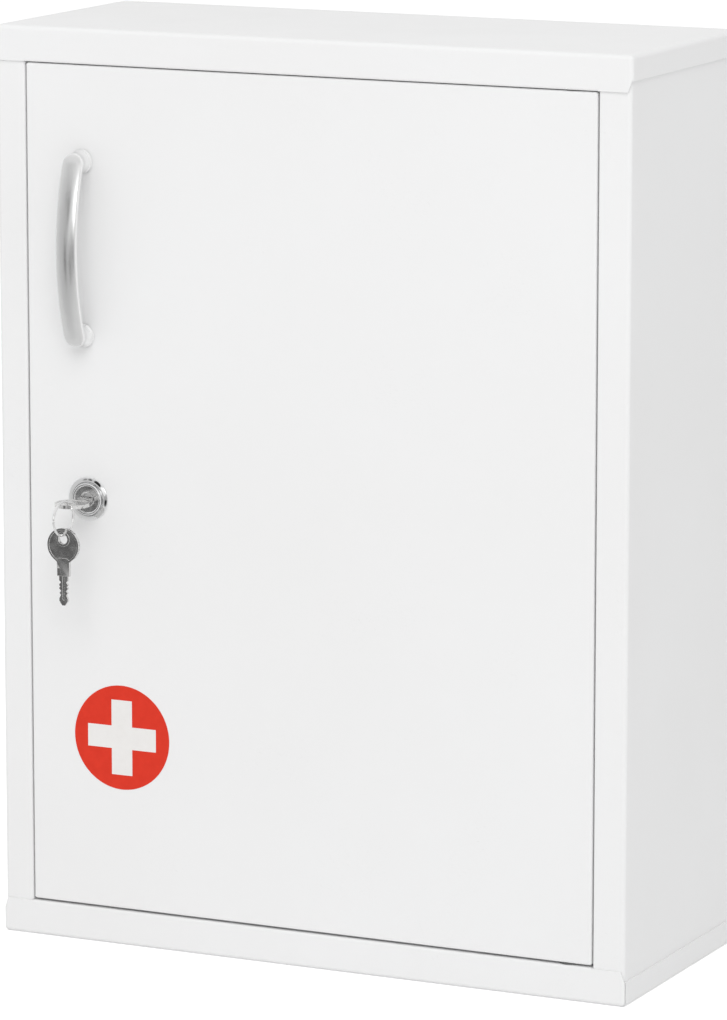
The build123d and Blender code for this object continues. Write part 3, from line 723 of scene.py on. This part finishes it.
# %% Screws
def flat_cross(reach, arm):
    """A flat cross round the origin, from its reach and half the width of its arms."""
    bm = bmesh.new()
    bmesh.ops.create_grid(bm, x_segments=3, y_segments=3, size=1)
    for vert in bm.verts:
        for axis in (0, 1):
            size = reach if abs(vert.co[axis]) > 0.5 else arm
            vert.co[axis] = size if vert.co[axis] > 0 else -size
    corner_faces = [face for face in bm.faces if min(abs(c) for c in face.calc_center_median()[:2]) > arm]
    bmesh.ops.delete(bm, geom=corner_faces, context="FACES")
    return bm


def cross_cutter(place, reach, arm, depth):
    """A tapered cross that points along -Y from a place on the screw's head."""
    bm = flat_cross(reach, arm)
    pushed = bmesh.ops.extrude_face_region(bm, geom=bm.faces[:])
    tip = [item for item in pushed["geom"] if isinstance(item, bmesh.types.BMVert)]
    bmesh.ops.scale(bm, vec=(0.55, 0.55, 1), verts=tip)
    bmesh.ops.translate(bm, vec=(0, 0, 2 * depth), verts=tip)
    bmesh.ops.translate(bm, vec=(0, 0, -depth), verts=bm.verts)
    bmesh.ops.rotate(bm, cent=(0, 0, 0), matrix=Matrix.Rotation(radians(90), 3, "X"), verts=bm.verts)
    bmesh.ops.translate(bm, vec=place, verts=bm.verts)
    merged(bm)
    return bm


def pan_heads(name, node, places, head_radius, body):
    """Copies the screws, punches a cross recess in each head and gives them their finish."""
    bm = copied(node)
    round_edges(bm, 0.18 * mm, 30, 3)
    merged(bm)
    screws = bpy.data.meshes.new(name)
    bm.to_mesh(screws)
    bm.free()
    shape = bpy.data.objects.new(name + "_shape", screws)
    bpy.context.scene.collection.objects.link(shape)
    cutters = bmesh.new()
    for place in places:
        one = cross_cutter(place, 0.52 * head_radius, 0.13 * head_radius, 1.1 * mm)
        part = bpy.data.meshes.new("part")
        one.to_mesh(part)
        one.free()
        cutters.from_mesh(part)
        bpy.data.meshes.remove(part)
    cutter_mesh = bpy.data.meshes.new("cutter")
    cutters.to_mesh(cutter_mesh)
    cutters.free()
    cutter = bpy.data.objects.new("cutter", cutter_mesh)
    bpy.context.scene.collection.objects.link(cutter)
    cut = shape.modifiers.new("recess", "BOOLEAN")
    cut.operation = "DIFFERENCE"
    cut.object = cutter
    graph = bpy.context.evaluated_depsgraph_get()
    punched = bmesh.new()
    punched.from_mesh(bpy.data.meshes.new_from_object(shape.evaluated_get(graph)))
    bpy.data.objects.remove(shape)
    bpy.data.objects.remove(cutter)
    finished(punched, name, zinc, body, [node], 30)


low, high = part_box("handle_screws")
head = (high.x - low.x) / 2
screw_x = (low.x + high.x) / 2
screw_places = [Vector((screw_x, high.y, low.z + head)), Vector((screw_x, high.y, high.z - head))]
pan_heads("handle_screws_punched", "handle_screws", screw_places, head, "door")
low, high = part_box("cam_screw")
place = Vector((lock_axis.x, high.y, lock_axis.z))
pan_heads("cam_screw_punched", "cam_screw", [place], (high.x - low.x) / 2, "lock_core")

# %% [markdown]
# ## Keys and their ring
#
# A flat key is stamped: its rim and the ring round its hole stand a little above the sunk field, and every
# edge is soft. The rounded edges make the bright outlines that a key shows against a dark field. The ring
# is bent wire whose ends meet at its outermost point.

# %% Keys
for node, body in (("inserted_key", "key"), ("spare_key", "second_key")):
    bm = copied(node)
    round_edges(bm, 0.12 * mm, 25, 2)
    finished(bm, node + "_eased", nickel, body, [node], 60)

# %% The ring
wire = 0.55 * mm
ring_middle = middle("key_ring")
ring_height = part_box("key_ring")[1].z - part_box("key_ring")[0].z
ring_radius = ring_height / 2 - wire
ring_gap = radians(3)
key_turn_degrees = 6
bm = bmesh.new()
bmesh.ops.create_circle(
    bm,
    cap_ends=True,
    radius=wire,
    segments=20,
    matrix=Matrix.Translation((ring_radius, 0, 0)) @ Matrix.Rotation(radians(90), 4, "X"),
)
bmesh.ops.rotate(bm, cent=(0, 0, 0), matrix=Matrix.Rotation(ring_gap / 2, 3, "Z"), verts=bm.verts)
bmesh.ops.spin(
    bm, geom=bm.faces[:], cent=(0, 0, 0), axis=(0, 0, 1), angle=tau - ring_gap, steps=120
)
merged(bm)
bmesh.ops.holes_fill(bm, edges=[edge for edge in bm.edges if edge.is_boundary], sides=20)
round_edges(bm, 0.12 * mm, 60, 2)
upright = Matrix.Rotation(radians(90), 3, "X")
facing = Matrix.Rotation(radians(270 - key_turn_degrees), 3, "Z")
bmesh.ops.rotate(bm, cent=(0, 0, 0), matrix=facing @ upright, verts=bm.verts)
bmesh.ops.translate(bm, vec=ring_middle, verts=bm.verts)
finished(bm, "key_ring_wire", bright_wire, "ring", ["key_ring"], 60)

# %% [markdown]
# ## Door bumpers
#
# Three soft pads on the stop lip take the door's slap. They are sold as small domes on a sheet: flat at
# the back, with a domed face. Each is turned from one outline. They keep inside the place of the CAD pads.

# %% Door bumpers
low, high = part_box("door_bumpers")
pad = (high.x - low.x) / 2 / mm
pad_depth = (high.y - low.y) / mm
pad_x = (low.x + high.x) / 2
dome = [(0, 0), (0.35 * pad, 0.03 * pad_depth), (0.7 * pad, 0.2 * pad_depth), (0.9 * pad, 0.5 * pad_depth)]
dome = dome + [(0.98 * pad, 0.8 * pad_depth), (pad, pad_depth), (0, pad_depth)]
bm = bmesh.new()
for z in (low.z + pad * mm, (low.z + high.z) / 2, high.z - pad * mm):
    turned(bm, dome, Vector((pad_x, low.y, z)), 40)
finished(bm, "door_bumper_domes", rubber, "cabinet", ["door_bumpers"], 50)

# %% [markdown]
# ## The first-aid sign
#
# The sign is a disc of printed film stuck on the door: a white cross on red, which is the generic sign for
# first aid. It stands off the door by a tenth of a millimetre, which is enough for its rim to catch light.
# The cross is a layer of white on it, which starts as the same flat cross as the screws' recess.

# %% The red disc
sign_centre = Vector((-90.2 * mm, door_face, 93.5 * mm))
sign_radius = 23.3 * mm
facing_out = Matrix.Rotation(radians(90), 3, "X")


def film(bm, back, front):
    """Gives a flat outline round the origin its thickness and puts it on the door, between two depths."""
    pushed = bmesh.ops.extrude_face_region(bm, geom=bm.faces[:])
    lifted = [item for item in pushed["geom"] if isinstance(item, bmesh.types.BMVert)]
    bmesh.ops.translate(bm, vec=(0, 0, front - back), verts=lifted)
    bmesh.ops.translate(bm, vec=(0, 0, back), verts=bm.verts)
    bmesh.ops.rotate(bm, cent=(0, 0, 0), matrix=facing_out, verts=bm.verts)
    bmesh.ops.translate(bm, vec=sign_centre, verts=bm.verts)
    merged(bm)


bm = bmesh.new()
bmesh.ops.create_circle(bm, cap_ends=True, radius=sign_radius, segments=160)
film(bm, 0.01 * mm, 0.11 * mm)
round_edges(bm, 0.03 * mm, 60, 2)
finished(bm, "sign_red_disc", red_film, "door", (), 60)

# %% The white cross
cross_reach = 16.75 * mm
cross_arm = 5.05 * mm
bm = flat_cross(cross_reach, cross_arm)
film(bm, 0.1 * mm, 0.15 * mm)
round_edges(bm, 0.012 * mm, 60, 1)
finished(bm, "sign_white_cross", white_film, "door", (), 60)

# %% [markdown]
# ## The camera
#
# The photographer stood in front of the cabinet and a little to its right, above it, with a long lens,
# so upright edges stay almost parallel. The camera looks along a direction given by two angles: how far
# it is turned to the left, and how far it is tipped down.

# %% Place the camera
camera_turn = radians(25.57)
camera_tip = radians(10.57)
view = Vector((-sin(camera_turn) * cos(camera_tip), cos(camera_turn) * cos(camera_tip), -sin(camera_tip)))
camera_data = bpy.data.cameras.new("camera")
camera_data.lens = 202.5
camera_data.sensor_width = 36
camera = bpy.data.objects.new("camera", camera_data)
camera.location = (1.0633, -2.2250, 0.6524)
camera.rotation_euler = view.to_track_quat("-Z", "Y").to_euler()
bpy.context.scene.collection.objects.link(camera)
bpy.context.scene.camera = camera
print("camera", [round(v, 3) for v in camera.location], "lens", camera_data.lens)

# %% [markdown]
# ## Floor, light and what the metal sees
#
# White on white needs even light: a white room all round, and one big soft lamp from the upper right in
# front, which makes the front lightest, the top a little darker and the side darkest, with faint shadows
# to the left. Metal is different. It shows only what it mirrors, and in an all-white room chrome looks
# like paint. So for mirrored rays the room has a tone of its own: a light grey, with a bright soft box, a
# white card, and some dark gaps between the things that stand in the studio.

# %% Floor
floor_mesh = bpy.data.meshes.new("floor")
bm = bmesh.new()
bmesh.ops.create_grid(bm, x_segments=1, y_segments=1, size=20)
bm.to_mesh(floor_mesh)
bm.free()
floor = bpy.data.objects.new("floor", floor_mesh)
bpy.context.scene.collection.objects.link(floor)
floor_paper, tree, shader = new_finish("floor_paper")
fibres = noise(tree, object_place(tree), 400, 3.0, 0.6)
fibres = spread(tree, fibres, 0.3, 0.7)
feed(tree, shader.inputs["Base Color"], mixed(tree, fibres, grey(0.955), grey(0.965)))
shader.inputs["Roughness"].default_value = 0.9
seen = tree.nodes.new("ShaderNodeLightPath").outputs["Is Camera Ray"]
paper_glow = 0.4
feed(tree, shader.inputs["Emission Strength"], sums(tree, "MULTIPLY", seen, paper_glow))
shader.inputs["Emission Color"].default_value = (1, 1, 1, 1)
floor_mesh.materials.append(floor_paper)
floor.visible_glossy = False
floor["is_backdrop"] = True
print("floor ready")

# %% Lamp
lamp_data = bpy.data.lights.new("large_soft_box", "AREA")
lamp_data.shape = "RECTANGLE"
lamp_data.size = 2.2
lamp_data.size_y = 2.2
lamp_data.energy = 37
lamp = bpy.data.objects.new("large_soft_box", lamp_data)
lamp_way = Vector((0.25, -0.66, 0.71)).normalized()
lamp.location = Vector((0, 0, 0.2)) + 3.2 * lamp_way
lamp.rotation_euler = (-lamp_way).to_track_quat("-Z", "Y").to_euler()
lamp.visible_glossy = False
bpy.context.scene.collection.objects.link(lamp)
print("lamp", [round(v, 2) for v in lamp.location], lamp_data.energy, "W")

# %% Room
room = bpy.data.worlds.new("white_room")
room.use_nodes = True
tree = room.node_tree
way = tree.nodes.new("ShaderNodeTexCoord").outputs["Generated"]


def patch(toward, inner, outer):
    """1 inside a round patch of the room, 0 outside. Its two angles are in degrees."""
    nearness = vectors(tree, "DOT_PRODUCT", way, tuple(Vector(toward).normalized()))
    return spread(tree, nearness, cos(radians(outer)), cos(radians(inner)), 0.0, 1.0, "SMOOTHSTEP")


height = tree.nodes.new("ShaderNodeSeparateXYZ")
feed(tree, height.inputs[0], way)
tone = spread(tree, height.outputs["Z"], -0.3, 0.75, 0.88, 1.0)
for toward, inner, outer, strength in (
    ((0.34, -0.92, 0.22), 3, 11, 3.4),
    ((-0.05, -1.0, 0.03), 5, 8, 0.5),
    ((-0.5, -0.86, -0.08), 14, 48, -0.24),
    ((-0.424, -0.887, -0.183), 5, 9, -0.56),
    ((0.34, -0.93, -0.1), 4, 12, -0.6),
    ((0.08, -0.98, -0.14), 6, 15, -0.3),
    ((-0.21, -0.96, 0.19), 5, 7, -0.7),
    ((-0.40, -0.88, 0.25), 2, 4, -0.55),
    ((-0.52, -0.82, 0.22), 2, 4, -0.5),
    ((0.02, -0.97, -0.25), 3, 6, -0.4),
):
    tone = sums(tree, "MULTIPLY_ADD", patch(toward, inner, outer), strength, tone)
tone = sums(tree, "MAXIMUM", tone, 0.02)
ray = tree.nodes.new("ShaderNodeLightPath")
room_light = 0.7
seen_tone = sums(tree, "MULTIPLY_ADD", ray.outputs["Is Camera Ray"], 1 - room_light, room_light)
mirror_change = sums(tree, "SUBTRACT", tone, room_light)
seen_tone = sums(tree, "MULTIPLY_ADD", ray.outputs["Is Glossy Ray"], mirror_change, seen_tone)
background = tree.nodes["Background"]
feed(tree, background.inputs["Strength"], seen_tone)
background.inputs["Color"].default_value = (1, 1, 1, 1)
bpy.context.scene.world = room
bpy.context.scene.view_settings.view_transform = "Standard"
print("room", len(tree.nodes), "nodes")

# %% [markdown]
# ## Close the lesson
#
# The finished cabinet must be as large as the CAD model, so both boxes are written side by side.

# %% Measure and finish
low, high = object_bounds()
print("growth in mm", [round((a - b) / mm, 3) for a, b in zip((*low, *high), (*cad_low, *cad_high))])
